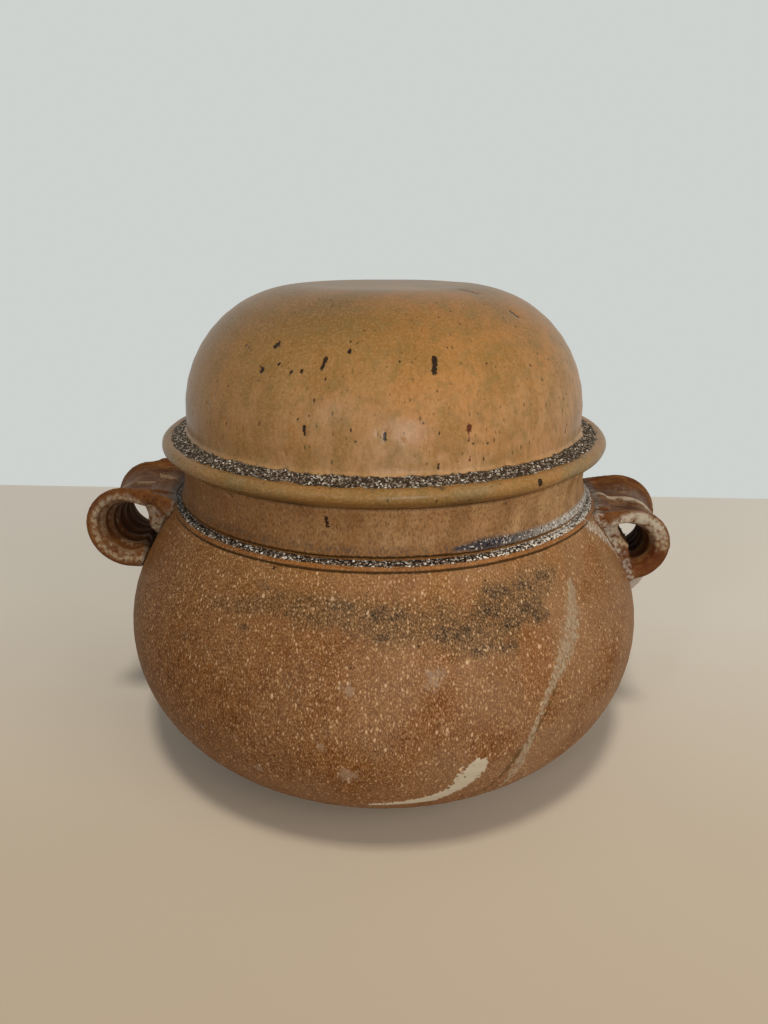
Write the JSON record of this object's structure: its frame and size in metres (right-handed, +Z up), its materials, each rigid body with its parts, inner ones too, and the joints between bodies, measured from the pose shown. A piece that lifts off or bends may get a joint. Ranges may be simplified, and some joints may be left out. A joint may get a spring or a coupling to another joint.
{
  "type": "stoneware bean pot",
  "caption": "Round-bellied ash-glazed stoneware bean pot with a short neck, a domed lid that lifts off and a looped strap handle on each shoulder.",
  "frame": {"origin": "centre of the flat foot, on the surface that the pot stands on", "axes": "+Z up along the wheel's axis, +X towards the right-hand handle, -Y towards the front"},
  "size_m": [0.2742, 0.2412, 0.2113],
  "materials": {
    "stoneware_body": "satin ash glaze over iron-bearing stoneware, rust brown with pale speckle and dark ash on the ridges",
    "stoneware_lid": "satin tan ash glaze with olive and iron speckle",
    "stoneware_handle": "red-brown ash glaze, pale grey where it pools on the ridges and joints"
  },
  "bodies": {
    "pot": {"pot_body": "stoneware_body", "handle_left": "stoneware_handle", "handle_right": "stoneware_handle"},
    "lid": {"lid": "stoneware_lid"}
  },
  "joints": [
    {"name": "lid_lift", "type": "slide", "parent": "pot", "child": "lid", "axis": [0, 0, 1], "range_m": [0, 0.12]}
  ]
}
